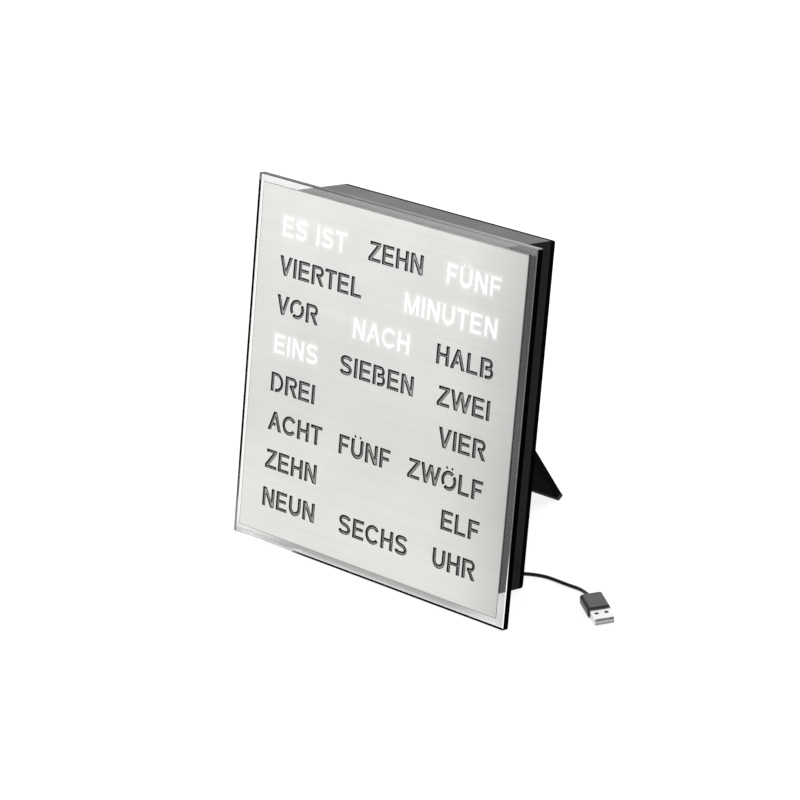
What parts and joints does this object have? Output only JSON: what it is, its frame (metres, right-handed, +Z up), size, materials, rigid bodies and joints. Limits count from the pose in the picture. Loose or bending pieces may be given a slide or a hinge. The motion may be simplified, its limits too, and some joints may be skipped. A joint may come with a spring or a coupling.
{
  "type": "word clock",
  "caption": "Square word clock: stencilled brushed-steel face on a glass plate over a lit box, tilted back on a folding rear stand, with a thin power lead.",
  "frame": {"origin": "on the table, under the middle of the clock's box with its stand open, the lead left out", "axes": "+Z up, the face looks along -Y, +X to the right as seen from the front"},
  "size_m": [0.2771, 0.158, 0.2255],
  "materials": {
    "clear_glass": "polished float glass, clear",
    "brushed_face": "fine horizontal brushing",
    "grey_film": "light-spreading film, neutral grey when unlit, white where it is lit",
    "black_foam": "bonding tape",
    "black_plastic": "moulded, fine texture",
    "white_plastic": "moulded, light-tight walls",
    "circuit_board": "solder-masked glass-fibre board",
    "lamp_white": "lamp bodies",
    "chip_black": "epoxy",
    "connector_plastic": "moulded",
    "connector_black": "moulded",
    "crystal_can": "drawn can",
    "capacitor_can": "sleeved can",
    "cell_steel": "plated steel",
    "zinc_steel": "zinc plated",
    "black_steel": "blackened",
    "black_rubber": "soft, matt",
    "button_plastic": "moulded, smooth",
    "lead_sheath": "soft sheath",
    "plug_plastic": "moulded grip",
    "plug_metal": "plated shell",
    "tongue_plastic": "moulded"
  },
  "bodies": {
    "clock": {"glass_plate": "clear_glass", "face_plate": "brushed_face", "diffuser_film": "grey_film", "bonding_tape": "black_foam", "housing": "black_plastic", "rear_cover": "black_plastic", "baffle_grid": "white_plastic", "led_board": "circuit_board", "leds": "lamp_white", "driver_chips": "chip_black", "link_socket": "connector_black", "link_pins": "connector_black", "power_header": "connector_plastic", "control_board": "circuit_board", "microcontroller": "chip_black", "clock_crystal": "crystal_can", "capacitor": "capacitor_can", "cell_holder": "connector_black", "coin_cell": "cell_steel", "switch_bodies": "chip_black", "led_board_screws": "zinc_steel", "control_board_screws": "zinc_steel", "cover_screws": "black_steel", "bracket_screws": "black_steel", "hinge_brackets": "black_steel", "hinge_pin": "black_steel", "cord_grommet": "black_rubber", "cord_stop": "connector_black", "inner_lead": "lead_sheath", "cord_lead": "lead_sheath", "cord_coil": "lead_sheath", "coil_tie": "black_foam", "cord_strand": "lead_sheath", "plug_grip": "plug_plastic", "plug_shell": "plug_metal", "plug_tongue": "tongue_plastic"},
    "stand": {"stand": "black_plastic", "stand_sole": "black_rubber"},
    "hour_button": {"hour_button": "button_plastic", "hour_plunger": "connector_black"},
    "minute_button": {"minute_button": "button_plastic", "minute_plunger": "connector_black"},
    "dimmer_button": {"dimmer_button": "button_plastic", "dimmer_plunger": "connector_black"}
  },
  "joints": [
    {"name": "stand_fold", "type": "hinge", "parent": "clock", "child": "stand", "pos_m": [0, 0.00706, 0.12601], "axis": [-1, 0, 0], "range_deg": [0, 41.5]},
    {"name": "hour_press", "type": "slide", "parent": "clock", "child": "hour_button", "axis": [0, -0.9767, 0.2147], "range_m": [0, 0.0008], "stiffness_N_per_m": 1500, "springref_m": -0.0005},
    {"name": "minute_press", "type": "slide", "parent": "clock", "child": "minute_button", "axis": [0, -0.9767, 0.2147], "range_m": [0, 0.0008], "stiffness_N_per_m": 1500, "springref_m": -0.0005},
    {"name": "dimmer_press", "type": "slide", "parent": "clock", "child": "dimmer_button", "axis": [0, -0.9767, 0.2147], "range_m": [0, 0.0008], "stiffness_N_per_m": 1500, "springref_m": -0.0005}
  ]
}
